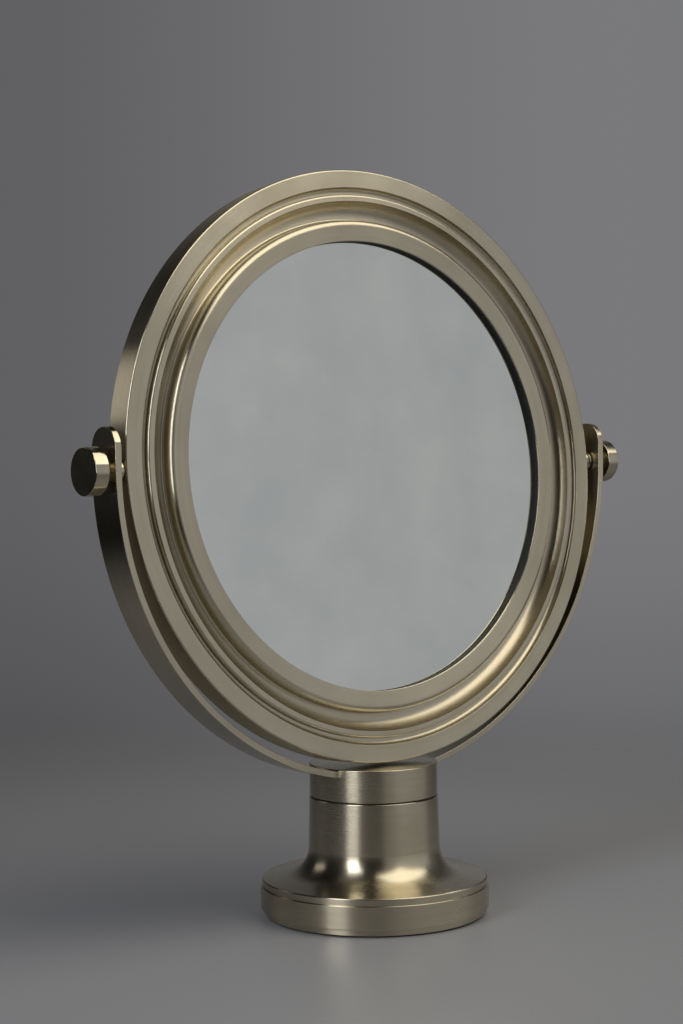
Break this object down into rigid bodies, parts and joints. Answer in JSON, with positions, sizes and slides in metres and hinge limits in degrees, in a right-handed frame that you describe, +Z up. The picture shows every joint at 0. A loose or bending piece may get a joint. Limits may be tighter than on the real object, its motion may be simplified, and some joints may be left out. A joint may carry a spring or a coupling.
{
  "type": "table mirror",
  "caption": "Round tilting table mirror with a moulded metal frame, hung by thumb knobs in a flat strip yoke on a swivelling collar and a flared round foot.",
  "frame": {"origin": "middle of the underside of the foot, on the table", "axes": "+Z up along the swivel axis, the mirror faces -Y, and the tilt axis runs along X"},
  "size_m": [0.4064, 0.14, 0.4541],
  "materials": {
    "satin_nickel": "satin nickel plate on turned brass, fine turning grain",
    "strip_nickel": "satin nickel plate on bent strip, grain along the strip",
    "knob_nickel": "satin nickel plate, turned face",
    "silvered_glass": "clear silvered float glass",
    "black_gasket": "matt black rubber",
    "back_sheet": "spun aluminium sheet, fine circular grain",
    "kraft_board": "brown board",
    "hardboard": "pressed hardboard",
    "plated_screw": "bright zinc plate",
    "pivot_steel": "plain turned steel",
    "friction_nylon": "black nylon sheet",
    "bearing_brass": "turned brass",
    "ballast_iron": "rough cast iron",
    "pad_rubber": "matt black rubber sheet"
  },
  "bodies": {
    "foot": {"pedestal": "satin_nickel", "ballast": "ballast_iron", "base_plate": "satin_nickel", "base_screws": "plated_screw", "foot_pad": "pad_rubber", "swivel_bush": "bearing_brass", "swivel_washer": "friction_nylon"},
    "yoke": {"collar": "satin_nickel", "saddle_block": "satin_nickel", "yoke_strip": "strip_nickel", "yoke_screws": "plated_screw", "swivel_spindle": "pivot_steel", "spindle_spring": "pivot_steel", "spindle_washer": "pivot_steel", "spindle_nut": "plated_screw"},
    "mirror": {"frame_ring": "satin_nickel", "inner_bezel": "satin_nickel", "bezel_screws": "plated_screw", "glass_gasket": "black_gasket", "mirror_glass": "silvered_glass", "glass_backing": "kraft_board", "backing_board": "hardboard", "back_plate": "back_sheet", "back_screws": "plated_screw", "left_pivot_stud": "pivot_steel", "left_spacer": "knob_nickel", "left_pivot_washer": "friction_nylon", "right_pivot_stud": "pivot_steel", "right_spacer": "knob_nickel", "right_pivot_washer": "friction_nylon"},
    "left_knob": {"left_knob": "knob_nickel"},
    "right_knob": {"right_knob": "knob_nickel"}
  },
  "joints": [
    {"name": "swivel", "type": "hinge", "parent": "foot", "child": "yoke", "pos_m": [0, 0, 0.0735], "axis": [0, 0, 1], "continuous": true},
    {"name": "tilt", "type": "hinge", "parent": "yoke", "child": "mirror", "pos_m": [0, 0, 0.27421], "axis": [1, 0, 0], "continuous": true},
    {"name": "left_knob_turn", "type": "hinge", "parent": "mirror", "child": "left_knob", "pos_m": [-0.19, 0, 0.27421], "axis": [-1, 0, 0], "range_deg": [0, 360]},
    {"name": "right_knob_turn", "type": "hinge", "parent": "mirror", "child": "right_knob", "pos_m": [0.19, 0, 0.27421], "axis": [1, 0, 0], "range_deg": [0, 360]}
  ]
}
